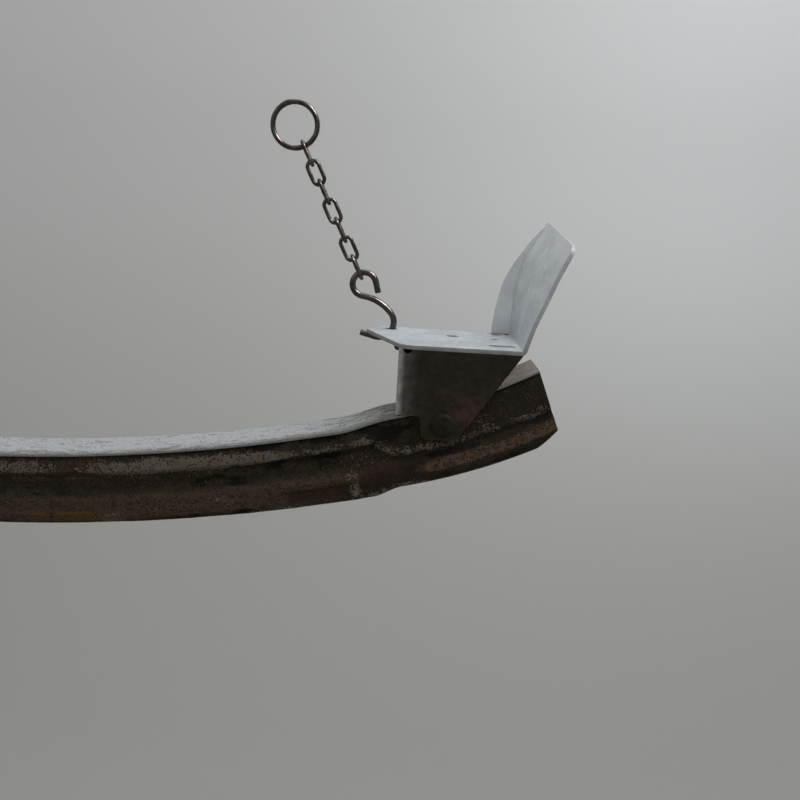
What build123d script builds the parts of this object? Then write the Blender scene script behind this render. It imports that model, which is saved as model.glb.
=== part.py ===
"""Pressed-steel bumper beam with two welded mounting brackets, hung on S-hooks and short-link chain.

Frame, in millimetres: the origin lies midway between the two inner round mounting holes, on the top
faces of the bracket plates. +X runs along the beam to its right-hand end, +Z points up, away from
the beam's road side, and +Y runs across the beam. The object is symmetric about the YZ plane.
"""

from build123d import *
from math import cos, radians, sin
import os

# ---- beam: two pressed sheets, curved along three arcs ----
beam_sheet = 2.0                # thickness of both sheets
beam_depth = 55.0               # front face to rear face
beam_width = 47.0               # across the two side walls
beam_front_z = -154.8           # front face at mid-length
middle_radius = 1430.0          # front face, middle arc
end_radius = 450.0              # front face, end arcs
joggle_angle = 13.2             # slope where the middle arc ends and an end arc starts
joggle_run = 20.5               # length of the joggle between them, along X
joggle_rise = 9.2               # and its rise
tuck_angle = 26.4               # slope where the front face starts to tuck in at the end
end_angle = 28.8                # slope at the cut end
end_lean = 21.9                 # lean of the cut itself, from vertical
end_tuck = 6.4                  # how far the front face has tucked in at the cut end
flange_width = 10.0             # return flanges under the rear plate
bend_radius = 2.5               # outer radius of the flange bends
corner_radius = 5.0             # outer radius of the front corners

# ---- bracket: top plate with upright, and the box that straddles the beam ----
plate_sheet = 3.0
box_sheet = 2.5
near_y = -59.1                  # near edge of the plate and near face of the box
far_y = 33.0                    # far edge of the plate at its outer corner
plate_tip = (311.8, 12.7)       # corner of the plate nearest mid-length
plate_far_x = 322.2             # far corner of the plate
plate_near_x = 341.1            # near corner of the plate
plate_far_radius = 6.0          # roundings at the far side's two inner corners
plate_near_radius = 15.0        # rounding at the near corner
plate_end_x = 429.5             # fold line of the upright
box_inner_x = 338.9             # wall of the box nearest mid-length
box_bend_radius = 6.5
box_floor_z = -68.4             # lower edge of the tabs
shoulder_z = -51.5              # lower edge of the walls between the inner wall and the tabs
tab_start_x = 357.0             # inner end of the tabs
tab_end_x = 384.6               # outer end of the tabs, where the slanted edge starts
tab_slant = 2.0                 # how far the tabs' inner edge leans outwards
tab_corner_radius = 4.0
seat_gap = 0.3                  # clearance between the box and the beam
relief_d = 6.0                  # relief notches at the top of the box's bends
beam_mid_y = near_y + box_sheet + seat_gap + beam_width / 2

# ---- mounting holes in the plate ----
round_hole_d = 9.5
round_hole_x = 380.0
outer_hole_d = 9.0
outer_hole = (415.8, 21.2)
slot_length = 20.0
slot_width = 9.0
slot_centre = (414.7, -37.9)
pilot_hole_d = 6.0
pilot_hole = (412.4, -4.0)
hook_hole = (331.5, 21.3)

# ---- through bolt of each bracket ----
bolt_x = 374.1
bolt_z = -57.2
bolt_d = 8.0
bolt_hole_d = 9.0
bolt_head_d = 18.0
bolt_head_height = 3.6
bolt_head_rounding = 2.5
bolt_end_chamfer = 0.8
bolt_stick_out = 10.0
nut_width = 13.0
nut_height = 6.8
nut_bore_d = 8.2
spacer_d = 14.0
weld_leg = 4.0

# ---- S-hook ----
hook_wire = 5.0
hook_hole_play = 5.0            # the plate's hole is this much wider than the wire
hook_end_rounding = 1.0
hook_low_radius = 12.0          # centreline of the lower loop
hook_mid_radius = 35.0          # centreline of the S's middle
hook_top_radius = 9.3           # centreline of the upper loop
hook_tail = 12.0                # straight lower end
hook_tip = 9.0                  # straight upper end
hook_neck = 3.0                 # straight between the middle and the upper loop
hook_tail_angle = 256.0         # where the tail leaves the lower loop
hook_low_sweep = 144.0
hook_mid_sweep = 40.0
hook_top_sweep = 245.0

# ---- chain ----
link_wire = 3.0
link_pitch = 16.0               # inside length of a link
link_play = 1.0                 # the inside of a link is this much wider than the hook's wire
link_count = 7
chain_lean = 26.4               # degrees from vertical, towards mid-length
link_gap = 0.3                  # play between a link's end and the wire it hangs on
ring_wire = 4.0
ring_inner_d = 30.0

hook_hole_d = hook_wire + hook_hole_play
link_width = hook_wire + link_play + 2 * link_wire

os.makedirs("parts", exist_ok=True)


def save(piece, name):
    """Write one node."""
    piece.label = name
    export_step(piece, f"parts/{name}.step")


def save_pair(piece, name):
    """Write a right-hand piece and its mirror image on the left."""
    save(piece, "right_" + name)
    save(mirror(piece, about=Plane.YZ), "left_" + name)


# ---- curve of the beam ----
joggle_x = middle_radius * sin(radians(joggle_angle))
middle_centre_z = beam_front_z + middle_radius
joggle_z = middle_centre_z - middle_radius * cos(radians(joggle_angle))
end_centre_x = joggle_x + joggle_run - end_radius * sin(radians(joggle_angle))
end_centre_z = joggle_z + joggle_rise + end_radius * cos(radians(joggle_angle))
middle_axis = Axis((0, 0, middle_centre_z), (0, -1, 0))
end_axis = Axis((end_centre_x, 0, end_centre_z), (0, -1, 0))


def across(centre_x, centre_z, radius, angle, lean):
    """Plane across the beam: its origin on the front face, x across the beam, y towards the rear."""
    slope, tilt = radians(angle), radians(lean)
    origin = (centre_x + radius * sin(slope), beam_mid_y, centre_z - radius * cos(slope))
    return Plane(origin=origin, x_dir=(0, 1, 0), z_dir=(cos(tilt), 0, sin(tilt)))


middle_start = across(0, middle_centre_z, middle_radius, 0, 0)
middle_end = across(0, middle_centre_z, middle_radius, joggle_angle, joggle_angle)
end_start = across(end_centre_x, end_centre_z, end_radius, joggle_angle, joggle_angle)
tuck_start = across(end_centre_x, end_centre_z, end_radius, tuck_angle, tuck_angle)
cut_end = across(end_centre_x, end_centre_z, end_radius, end_angle, end_lean)

# One side wall seen along the beam, from its return flange to the front corner. Each entry is how
# far the sheet's outer face lies inside the full half width, its height above the front face, and
# the bend radius there.
flange_z = beam_depth - beam_sheet
middle_wall = (
    (1.5, flange_z, bend_radius),
    (0.0, beam_depth - 9.0, 4.0),
    (0.7, beam_depth - 15.0, 3.0),
    (5.0, beam_depth - 19.5, 3.0),
    (5.0, 25.5, 3.0),
    (0.0, 19.0, 4.0),
    (0.0, 0.0, corner_radius),
)
end_wall = (
    (2.0, flange_z, bend_radius),
    (1.2, beam_depth - 8.0, 4.0),
    (1.3, beam_depth - 17.0, 3.0),
    (1.2, 27.0, 3.0),
    (3.8, 21.5, 3.0),
    (0.0, 17.0, 4.0),
    (0.0, 0.0, corner_radius),
)
cut_wall = end_wall[:-1] + ((0.0, end_tuck, corner_radius),)


def channel_section(plane, wall):
    """The front channel's sheet cut across: flange, side wall, front, side wall, flange."""
    half = beam_width / 2
    left = [(-half + inset, height) for inset, height, _ in wall]
    radii = [radius for _, _, radius in wall]
    lip = [(left[0][0] + flange_width, flange_z)]
    outline = lip + left + [(-y, z) for y, z in reversed(lip + left)]
    with BuildSketch(plane) as section:
        with BuildLine():
            FilletPolyline(*outline, radius=radii + radii[::-1])
            offset(amount=beam_sheet, side=Side.LEFT, closed=True)
        make_face()
    return section.sketch.face()


def plate_section(plane):
    """The rear plate cut across."""
    with BuildSketch(plane) as section:
        with Locations((0, beam_depth - beam_sheet / 2)):
            Rectangle(beam_width, beam_sheet)
    return section.sketch.face()


with BuildPart() as beam_front_channel:
    revolve(channel_section(middle_start, middle_wall), axis=middle_axis, revolution_arc=joggle_angle)
    loft([channel_section(middle_end, middle_wall), channel_section(end_start, end_wall)], ruled=True)
    revolve(channel_section(end_start, end_wall), axis=end_axis, revolution_arc=tuck_angle - joggle_angle)
    loft([channel_section(tuck_start, end_wall), channel_section(cut_end, cut_wall)], ruled=True)
    with Locations(Plane((bolt_x, beam_mid_y, bolt_z), z_dir=(0, 1, 0))):
        Cylinder(bolt_hole_d / 2, 2 * beam_width, mode=Mode.SUBTRACT)
    mirror(about=Plane.YZ)
save(beam_front_channel.part, "beam_front_channel")

with BuildPart() as beam_rear_plate:
    revolve(plate_section(middle_start), axis=middle_axis, revolution_arc=joggle_angle)
    loft([plate_section(middle_end), plate_section(end_start)], ruled=True)
    revolve(plate_section(end_start), axis=end_axis, revolution_arc=tuck_angle - joggle_angle)
    loft([plate_section(tuck_start), plate_section(cut_end)], ruled=True)
    mirror(about=Plane.YZ)
save(beam_rear_plate.part, "beam_rear_plate")

# ---- bracket plate: flat top, leaning upright on its outer edge, return flange on the far side ----
# Outer face of the upright as (x, z) at its near and far edges, from the fold to the top.
upright_far_y = 29.0
flange_inset = 0.1              # the return flange lies this much inside the upright's far edge
upright_near = ((429.5, -plate_sheet), (435.4, 17.6), (442.0, 34.0), (449.2, 53.0), (458.6, 74.4))
upright_far = ((429.5, -plate_sheet), (429.5, 19.0), (430.5, 40.0), (437.0, 62.0), (452.3, 88.9))
flange_edge = ((411.7, 0.0), (413.8, 21.0), (418.1, 42.0), (425.6, 57.0), (438.4, 76.3), (449.0, 88.0))


def upright_section(level):
    """The upright's sheet at one of its levels, square to the sheet."""
    near = Vector(upright_near[level][0], near_y, upright_near[level][1])
    far = Vector(upright_far[level][0], upright_far_y, upright_far[level][1])
    below, above = max(level - 1, 0), min(level + 1, len(upright_near) - 1)
    rise_x = upright_near[above][0] + upright_far[above][0] - upright_near[below][0] - upright_far[below][0]
    rise_z = upright_near[above][1] + upright_far[above][1] - upright_near[below][1] - upright_far[below][1]
    along = (far - near).normalized()
    rise = Vector(rise_x, 0, rise_z)
    upward = rise - along * rise.dot(along)
    with BuildSketch(Plane(origin=near, x_dir=along, z_dir=upward)) as section:
        Rectangle((far - near).length, plate_sheet, align=(Align.MIN, Align.MIN))
    return section.sketch.face()


with BuildPart() as bracket_plate:
    with BuildSketch(Plane.XY.offset(-plate_sheet)) as outline:
        with BuildLine():
            Polyline(
                (plate_end_x, near_y),
                (plate_near_x, near_y),
                plate_tip,
                (plate_far_x, far_y),
                (plate_end_x, upright_far_y),
                close=True,
            )
        make_face()
        corners = outline.vertices().sort_by(Axis.X)
        fillet(corners[0:2], plate_far_radius)
        fillet(outline.vertices().group_by(Axis.Y)[0].sort_by(Axis.X)[0], plate_near_radius)
    extrude(amount=plate_sheet)
    loft([upright_section(level) for level in range(len(upright_near))])
    with BuildSketch(Plane.XZ.offset(flange_inset - upright_far_y)):
        with BuildLine():
            Spline(*flange_edge)
            Polyline(
                flange_edge[-1],
                (upright_far[-1][0] - plate_sheet / 2, flange_edge[-1][1]),
                *((x - plate_sheet / 2, z) for x, z in upright_far[-2:0:-1]),
                (plate_end_x, -plate_sheet),
                (flange_edge[0][0], -plate_sheet),
                flange_edge[0],
            )
        make_face()
    extrude(amount=plate_sheet)
    for place, diameter in (
        ((round_hole_x, 0), round_hole_d),
        (outer_hole, outer_hole_d),
        (pilot_hole, pilot_hole_d),
        (hook_hole, hook_hole_d),
    ):
        with Locations(place):
            Hole(diameter / 2)
    with BuildSketch():
        with Locations(slot_centre):
            SlotOverall(slot_length, slot_width)
    extrude(amount=-plate_sheet, mode=Mode.SUBTRACT)
save_pair(bracket_plate.part, "bracket_plate")

# ---- bracket box: a folded U whose walls come down on both sides of the beam ----
space_width = beam_width + 2 * seat_gap
box_width = space_width + 2 * box_sheet
box_far_y = near_y + box_width
box_mid_y = near_y + box_width / 2
box_end_x = plate_end_x - plate_sheet / 2
rear_radius = end_radius - beam_depth
bolt_line = Plane((bolt_x, box_mid_y, bolt_z), z_dir=(0, 1, 0))

with BuildPart() as beam_space:
    with BuildSketch(Plane.XZ.offset(-box_mid_y)):
        with Locations((end_centre_x, end_centre_z)):
            Circle(end_radius + beam_depth)
            Circle(rear_radius - seat_gap, mode=Mode.SUBTRACT)
    extrude(amount=space_width / 2, both=True)

with BuildPart() as bracket_box:
    with BuildSketch(Plane.XY.offset(-plate_sheet)):
        with BuildLine():
            FilletPolyline(
                (box_end_x, near_y),
                (box_inner_x, near_y),
                (box_inner_x, box_far_y),
                (box_end_x, box_far_y),
                radius=box_bend_radius,
            )
            offset(amount=box_sheet, side=Side.RIGHT, closed=True)
        make_face()
    extrude(amount=box_floor_z + plate_sheet)
    with BuildSketch(Plane.XZ.offset(-box_mid_y)) as side_view:
        with BuildLine():
            Polyline(
                (box_inner_x, -plate_sheet),
                (box_inner_x, shoulder_z),
                (tab_start_x, shoulder_z),
                (tab_start_x + tab_slant, box_floor_z),
                (tab_end_x, box_floor_z),
                (box_end_x, -plate_sheet),
                close=True,
            )
        make_face()
        fillet(side_view.vertices().group_by(Axis.Y)[0], tab_corner_radius)
    extrude(amount=box_width, both=True, mode=Mode.INTERSECT)
    add(beam_space.part, mode=Mode.SUBTRACT)
    with Locations(bolt_line):
        Cylinder(bolt_hole_d / 2, 2 * box_width, mode=Mode.SUBTRACT)
    with Locations(
        Plane((box_inner_x + box_bend_radius, near_y, -plate_sheet), z_dir=(0, 1, 0)),
        Plane((box_inner_x + box_bend_radius, box_far_y, -plate_sheet), z_dir=(0, 1, 0)),
    ):
        Cylinder(relief_d / 2, 2 * box_bend_radius, mode=Mode.SUBTRACT)
save_pair(bracket_box.part, "bracket_box")

# ---- weld beads under the plate, along the inner wall and the far wall ----
bead_start = near_y + 2 * box_bend_radius
bead_end = box_far_y - 2 * box_bend_radius
far_bead_x = box_inner_x + 2 * box_bend_radius
far_bead_length = box_end_x - weld_leg - far_bead_x

with BuildPart() as bracket_welds:
    with BuildSketch(Plane.XZ.offset(-bead_end)):
        with Locations((box_inner_x, -plate_sheet)):
            Triangle(a=weld_leg, b=weld_leg, C=90, align=(Align.MIN, Align.MIN), rotation=180)
    extrude(amount=bead_end - bead_start)
    with BuildSketch(Plane.YZ.offset(far_bead_x)):
        with Locations((box_far_y, -plate_sheet)):
            Triangle(a=weld_leg, b=weld_leg, C=90, align=(Align.MIN, Align.MIN), rotation=-90)
    extrude(amount=far_bead_length)
save_pair(bracket_welds.part, "bracket_welds")

# ---- through bolt with its nut, and the spacer tube that stops it crushing the beam ----
head_face = Plane((bolt_x, near_y, bolt_z), z_dir=(0, -1, 0))
nut_face = Plane((bolt_x, box_far_y, bolt_z), z_dir=(0, 1, 0))
wall_inset = end_wall[2][0] + beam_sheet
spacer_length = beam_width - 2 * (wall_inset + seat_gap)

with BuildPart() as bracket_bolt:
    with BuildSketch(head_face):
        Circle(bolt_head_d / 2)
    extrude(amount=bolt_head_height)
    fillet(bracket_bolt.edges().group_by(Axis.Y)[0], bolt_head_rounding)
    with BuildSketch(head_face):
        Circle(bolt_d / 2)
    extrude(amount=-(box_width + bolt_stick_out))
    chamfer(bracket_bolt.edges().group_by(Axis.Y)[-1], bolt_end_chamfer)
save_pair(bracket_bolt.part, "bracket_bolt")

with BuildPart() as bracket_nut:
    with BuildSketch(nut_face):
        RegularPolygon(nut_width / 2, 6, major_radius=False)
        Circle(nut_bore_d / 2, mode=Mode.SUBTRACT)
    extrude(amount=nut_height)
save_pair(bracket_nut.part, "bracket_nut")

with BuildPart() as bolt_spacer:
    with BuildSketch(Plane((bolt_x, beam_mid_y, bolt_z), z_dir=(0, 1, 0))):
        Circle(spacer_d / 2)
        Circle(bolt_hole_d / 2, mode=Mode.SUBTRACT)
    extrude(amount=spacer_length / 2, both=True)
save_pair(bolt_spacer.part, "bolt_spacer")

# ---- S-hook through the plate's corner hole ----
# The plate's web between the hole and its slanted edge hangs in the lower loop: the loop's centre
# lies over the middle of that web, as low as the web's lower corners allow.
slant = (plate_far_x - plate_tip[0]) / (far_y - plate_tip[1])
web_left = plate_tip[0] + slant * (hook_hole[1] - plate_tip[1])
web_right = hook_hole[0] - hook_hole_d / 2
loop_inner_radius = hook_low_radius - hook_wire / 2 - link_gap
web_half = (web_right - web_left) / 2
hook_x = (web_left + web_right) / 2
hook_z = -plate_sheet + (loop_inner_radius**2 - web_half**2) ** 0.5
hook_y = hook_hole[1]
hook_plane = Plane((hook_x, hook_y, hook_z), x_dir=(1, 0, 0), z_dir=(0, -1, 0))

tail_slope = radians(hook_tail_angle + 90)
tail_root = (
    hook_low_radius * cos(radians(hook_tail_angle)),
    hook_low_radius * sin(radians(hook_tail_angle)),
)
tail_end = (tail_root[0] - hook_tail * cos(tail_slope), tail_root[1] - hook_tail * sin(tail_slope))

with BuildPart() as s_hook:
    with BuildLine(hook_plane) as hook_line:
        tail = Line(tail_end, tail_root)
        low = JernArc(tail @ 1, tail % 1, hook_low_radius, hook_low_sweep)
        middle = JernArc(low @ 1, low % 1, hook_mid_radius, hook_mid_sweep)
        neck = Line(middle @ 1, middle @ 1 + (middle % 1) * hook_neck)
        top = JernArc(neck @ 1, neck % 1, hook_top_radius, -hook_top_sweep)
        tip = Line(top @ 1, top @ 1 + (top % 1) * hook_tip)
    with BuildSketch(Plane(hook_line.line @ 0, z_dir=hook_line.line % 0)):
        Circle(hook_wire / 2)
    sweep()
    fillet(s_hook.faces().filter_by(GeomType.PLANE).edges(), hook_end_rounding)
save_pair(s_hook.part, "s_hook")

# ---- chain from the upper loop, leaning towards mid-length, and the ring at its end ----
# Links hang edge-on and face-on by turns. Each one's end wire lies inside the wire before it.
lean = radians(chain_lean)
chain_dir = Vector(-sin(lean), 0, cos(lean))
across_dir = Vector(cos(lean), 0, sin(lean))
beam_dir = Vector(0, 1, 0)
top_centre = neck @ 1 + (neck % 1).cross(hook_plane.z_dir) * hook_top_radius
link_reach = (link_pitch + link_wire) / 2
link_end_radius = (link_width - link_wire) / 2
link_leg = link_pitch + link_wire - 2 * link_end_radius
ring_radius = (ring_inner_d + ring_wire) / 2

with BuildPart() as chain_link:
    with BuildLine() as link_line:
        upper_leg = Line((-link_leg / 2, link_end_radius), (link_leg / 2, link_end_radius))
        first_end = JernArc(upper_leg @ 1, upper_leg % 1, link_end_radius, -180)
        lower_leg = Line(first_end @ 1, first_end @ 1 + (first_end % 1) * link_leg)
        JernArc(lower_leg @ 1, lower_leg % 1, link_end_radius, -180)
    with BuildSketch(Plane(link_line.line @ 0, z_dir=link_line.line % 0)):
        Circle(link_wire / 2)
    sweep()

# Each joint of the chain: the middle of the wire that the next link hangs on, and that wire's
# direction there.
pivot = top_centre + chain_dir * hook_top_radius
pivot_dir = across_dir
wire_before = hook_wire
chain_pivots = []
for number in range(1, link_count + 1):
    chain_pivots.append((pivot, pivot_dir))
    centre = pivot + chain_dir * (link_reach - wire_before / 2 - link_wire / 2 - link_gap)
    place = Plane(centre, x_dir=chain_dir, z_dir=pivot_dir)
    save_pair(chain_link.part.moved(place.location), f"chain_link_{number}")
    pivot = centre + chain_dir * link_reach
    pivot_dir = beam_dir if pivot_dir == across_dir else across_dir
    wire_before = link_wire
chain_pivots.append((pivot, pivot_dir))

ring_centre = pivot + chain_dir * (ring_radius - link_wire / 2 - ring_wire / 2 - link_gap)
with BuildPart() as chain_ring:
    with Locations(Plane(ring_centre, x_dir=chain_dir, z_dir=pivot_dir)):
        Torus(ring_radius, ring_wire / 2)
save_pair(chain_ring.part, "chain_ring")
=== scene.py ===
from math import atan2, cos, hypot, pi, radians, sin, sqrt, tan

import bmesh
import bpy
import numpy as np
from mathutils import Euler, Matrix, Vector, noise


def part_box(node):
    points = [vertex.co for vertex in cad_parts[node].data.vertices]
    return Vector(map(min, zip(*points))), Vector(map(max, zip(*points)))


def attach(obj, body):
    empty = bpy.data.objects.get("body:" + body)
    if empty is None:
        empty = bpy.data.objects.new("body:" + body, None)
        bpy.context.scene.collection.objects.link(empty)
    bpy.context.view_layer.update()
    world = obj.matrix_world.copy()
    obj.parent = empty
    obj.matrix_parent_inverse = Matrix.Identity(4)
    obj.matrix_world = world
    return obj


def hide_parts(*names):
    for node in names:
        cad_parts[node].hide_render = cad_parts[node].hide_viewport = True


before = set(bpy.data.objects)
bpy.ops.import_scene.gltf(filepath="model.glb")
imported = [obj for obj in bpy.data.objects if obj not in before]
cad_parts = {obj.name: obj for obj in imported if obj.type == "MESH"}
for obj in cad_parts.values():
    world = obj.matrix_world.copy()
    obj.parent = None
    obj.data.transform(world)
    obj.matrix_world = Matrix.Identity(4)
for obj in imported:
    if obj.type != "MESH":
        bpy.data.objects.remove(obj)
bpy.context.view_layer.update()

MM = 0.001
SIDES = (("right", 1), ("left", -1))

# ---- the beam, in millimetres, as the CAD model has it ----
BEAM_SHEET = 2.0
BEAM_DEPTH = 55.0
BEAM_WIDTH = 47.0
BEAM_MID_Y = -32.8
BEAM_FRONT_Z = -154.8
MIDDLE_RADIUS = 1430.0
END_RADIUS = 450.0
JOGGLE_ANGLE = radians(13.2)
JOGGLE_RUN = 20.5
JOGGLE_RISE = 9.2
TUCK_ANGLE = radians(26.4)
END_ANGLE = radians(28.8)
END_LEAN = radians(21.9)
END_TUCK = 6.4
FLANGE_WIDTH = 10.0
FLANGE_Z = BEAM_DEPTH - BEAM_SHEET

# One side wall from its return flange to the front corner: how far inside the half width it lies,
# height above the front face, bend radius.
MIDDLE_WALL = (
    (1.5, FLANGE_Z, 2.5), (0, 46, 4), (0.7, 40, 3), (5, 35.5, 3), (5, 25.5, 3), (0, 19, 4), (0, 0, 5),
)
END_WALL = (
    (2, FLANGE_Z, 2.5), (1.2, 47, 4), (1.3, 38, 3), (1.2, 27, 3), (3.8, 21.5, 3), (0, 17, 4), (0, 0, 5),
)
RUN_STEPS = (5, 4, 4, 4, 7, 5, 12)      # pieces of each straight run, from the flange's edge down
FRONT_STEPS = 22
BEND_STEPS = 5
STATION_STEP = 1.5                      # from one cross-section to the next
JOGGLE_LEAD = 16.0                      # how much earlier the joggle starts on the rear side

JOGGLE_X = MIDDLE_RADIUS * sin(JOGGLE_ANGLE)
JOGGLE_Z = BEAM_FRONT_Z + MIDDLE_RADIUS * (1 - cos(JOGGLE_ANGLE))
MIDDLE_CENTRE_Z = BEAM_FRONT_Z + MIDDLE_RADIUS
END_CENTRE_X = JOGGLE_X + JOGGLE_RUN - END_RADIUS * sin(JOGGLE_ANGLE)
END_CENTRE_Z = JOGGLE_Z + JOGGLE_RISE + END_RADIUS * cos(JOGGLE_ANGLE)
END_X = END_CENTRE_X + END_RADIUS * sin(END_ANGLE)

# ---- bracket, in millimetres ----
PLATE_SHEET = 3.0
BOX_SHEET = 2.5
NEAR_Y = -59.1
FAR_Y = 33.0
UPRIGHT_FAR_Y = 29.0
PLATE_END_X = 429.5
PLATE_EDGE = ((341.1, NEAR_Y), (311.8, 12.7), (322.2, FAR_Y))
HOLES = ((380.0, 0.0, 9.5), (415.8, 21.2, 9.0), (412.4, -4.0, 6.0), (331.5, 21.3, 10.0))
SLOT_CENTRE = (414.7, -37.9)
SLOT_LENGTH = 20.0
SLOT_WIDTH = 9.0
UPRIGHT_NEAR = ((429.5, -3.0), (435.4, 17.6), (442.0, 34.0), (449.2, 53.0), (458.6, 74.4))
UPRIGHT_FAR = ((429.5, -3.0), (429.5, 19.0), (430.5, 40.0), (437.0, 62.0), (452.3, 88.9))
FLANGE_EDGE = ((411.7, 0.0), (413.8, 21.0), (418.1, 42.0), (425.6, 57.0), (438.4, 76.3), (449.0, 88.0))
FOLD_RADII = (4.2, 60.0, 60.0, 40.0)
FOLD_STEPS = (40, 10, 10, 10, 14)
FOLD_COLUMN = FOLD_STEPS[0] + 7         # where the upright starts along the path
TRIM_COLUMN = FOLD_COLUMN + 34          # the corner roundings only pull in what lies above this
BOX_INNER_X = 338.9
BOX_GAP = 0.6                           # how much wider the box is than the beam
BOX_FAR_Y = NEAR_Y + BEAM_WIDTH + BOX_GAP + 2 * BOX_SHEET
SEAT_GAP = 0.3                          # between the beam's rear face and the inner wall's lower edge
BOX_BEND = 6.5
BOX_END_X = PLATE_END_X - PLATE_SHEET / 2
BOX_FLOOR_Z = -68.4
SHOULDER_Z = -51.5
TAB_START_X = 357.0
TAB_END_X = 384.6
BOLT_X = 374.1
BOLT_Z = -57.2
BOLT_D = 8.0
THREAD_PITCH = 1.25
WELD_LEG = 4.0
NUT_WIDTH = 13.0
NUT_HEIGHT = 6.8

# ---- chain, in millimetres ----
CHAIN_LEAN = radians(26.4)
LINK_WIRE = 3.0
LINK_PITCH = 16.0
LINK_WIDTH = 12.0
LINK_COUNT = 7
RING_WIRE = 4.0
RING_INNER_D = 30.0


# ---- shape helpers ----
def smooth(value, low, high):
    """0 below low, 1 above high, smooth between."""
    t = np.clip((np.asarray(value, dtype=float) - low) / (high - low), 0.0, 1.0)
    return t * t * (3 - 2 * t)


def band(value, low, high, soft):
    """1 between low and high, with soft borders."""
    return smooth(value, low - soft, low + soft) * (1 - smooth(value, high - soft, high + soft))


def rounded(points, radii, steps, bend_steps=BEND_STEPS):
    """A polyline with rounded corners: steps pieces on each straight run, bend_steps on each bend."""
    points = [np.array(point, dtype=float) for point in points]
    starts, bends = [points[0]], []
    for before, corner, after, radius in zip(points, points[1:], points[2:], radii):
        to_before = (before - corner) / np.linalg.norm(before - corner)
        to_after = (after - corner) / np.linalg.norm(after - corner)
        half = np.arccos(np.clip(to_before @ to_after, -1, 1)) / 2
        reach = radius / tan(half)
        halfway = (to_before + to_after) / np.linalg.norm(to_before + to_after)
        middle = corner + halfway * radius / sin(half)
        first, last = corner + to_before * reach, corner + to_after * reach
        from_angle = atan2(*(first - middle)[::-1])
        turn = (atan2(*(last - middle)[::-1]) - from_angle + pi) % (2 * pi) - pi
        angles = from_angle + turn * np.arange(bend_steps + 1) / bend_steps
        bends.append(middle + radius * np.column_stack((np.cos(angles), np.sin(angles))))
        starts.append(first)
    starts.append(points[-1])
    path, last = [], points[0]
    for run, count in enumerate(steps):
        path.extend(last + (starts[run + 1] - last) * np.arange(count)[:, None] / count)
        if run < len(bends):
            path.extend(bends[run][:-1])
            last = bends[run][-1]
    path.append(points[-1])
    return np.array(path)


def sideways(path):
    """Unit normals of a plane path, to the left of its direction."""
    along = np.gradient(path, axis=0)
    along /= np.linalg.norm(along, axis=1)[:, None]
    return np.column_stack((-along[:, 1], along[:, 0]))


def grid_quads(rows, columns, wrap_rows=False, wrap_columns=False):
    """Corner indices of the quads of a grid of points, row after row."""
    row = np.arange(rows if wrap_rows else rows - 1)
    column = np.arange(columns if wrap_columns else columns - 1)
    r, c = (side.ravel() for side in np.meshgrid(row, column, indexing="ij"))
    next_r, next_c = (r + 1) % rows, (c + 1) % columns
    corners = (r * columns + c, next_r * columns + c, next_r * columns + next_c, r * columns + next_c)
    return np.column_stack(corners)


def capped_faces(rows, around):
    """Faces of a grid that is closed round its columns and has a cap at each end."""
    faces = grid_quads(rows, around, wrap_columns=True).tolist()
    return faces + [list(range(around)), list(range(around * (rows - 1), around * rows))]


def ring_angles(around):
    """Angles of the points round a cutter, none of them on an axis."""
    return 2 * pi * (np.arange(around) + 0.5) / around


def mesh_object(name, points, faces, sharp=35, tones=None):
    """An object from points in millimetres, its normals made consistent, with tones as attributes."""
    mesh = bpy.data.meshes.new(name)
    mesh.from_pydata((np.asarray(points) * MM).tolist(), [], [list(face) for face in faces])
    for tone, values in (tones or {}).items():
        attribute = mesh.attributes.new(tone, "FLOAT", "POINT")
        attribute.data.foreach_set("value", np.asarray(values, dtype=np.float32))
    work = bmesh.new()
    work.from_mesh(mesh)
    bmesh.ops.recalc_face_normals(work, faces=work.faces)
    work.to_mesh(mesh)
    work.free()
    mesh.shade_smooth()
    mesh.set_sharp_from_angle(angle=radians(sharp))
    obj = bpy.data.objects.new(name, mesh)
    bpy.context.collection.objects.link(obj)
    return obj


def sheet_object(name, outer, inner, quads, tones):
    """A closed sheet: its two faces, point for point, and the rim round their border."""
    count = len(outer)
    edges = np.concatenate([quads[:, [k, (k + 1) % 4]] for k in range(4)])
    ordered = np.sort(edges, axis=1)
    keys = ordered[:, 0] * count + ordered[:, 1]
    _, place, times = np.unique(keys, return_index=True, return_counts=True)
    border = edges[place[times == 1]]
    rim = np.column_stack((border[:, 1], border[:, 0], border[:, 0] + count, border[:, 1] + count))
    faces = np.concatenate((quads, quads[:, ::-1] + count, rim))
    return mesh_object(name, np.concatenate((outer, inner)), faces, 40, tones)


def tube_object(name, path, across, upright, radii, around=20):
    """A round bar along a closed path; across and upright are unit vectors square to it at each point."""
    angles = 2 * pi * np.arange(around) / around
    ring = np.cos(angles)[:, None] * across[:, None, :] + np.sin(angles)[:, None] * upright[:, None, :]
    points = (path[:, None, :] + ring * np.asarray(radii)[:, None, None]).reshape(-1, 3)
    return mesh_object(name, points, grid_quads(len(path), around, wrap_rows=True, wrap_columns=True), 60)


def waves(points, size, seed):
    """Smooth noise, about -1 to 1, at each point; size is its grain in millimetres."""
    shift = Vector((seed * 13.7, seed * 5.1, seed * 9.3))
    return np.array([noise.noise(Vector(point) / size + shift) for point in points])


def cut_holes(obj, cutters):
    """Cuts the cutters out of the object and removes them."""
    for cutter in cutters:
        tool = obj.modifiers.new("cut", "BOOLEAN")
        tool.object = cutter
        tool.solver = "EXACT"
    evaluated = obj.evaluated_get(bpy.context.evaluated_depsgraph_get())
    result = bpy.data.meshes.new_from_object(evaluated)
    obj.modifiers.clear()
    obj.data = result
    for cutter in cutters:
        bpy.data.objects.remove(cutter)


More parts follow.
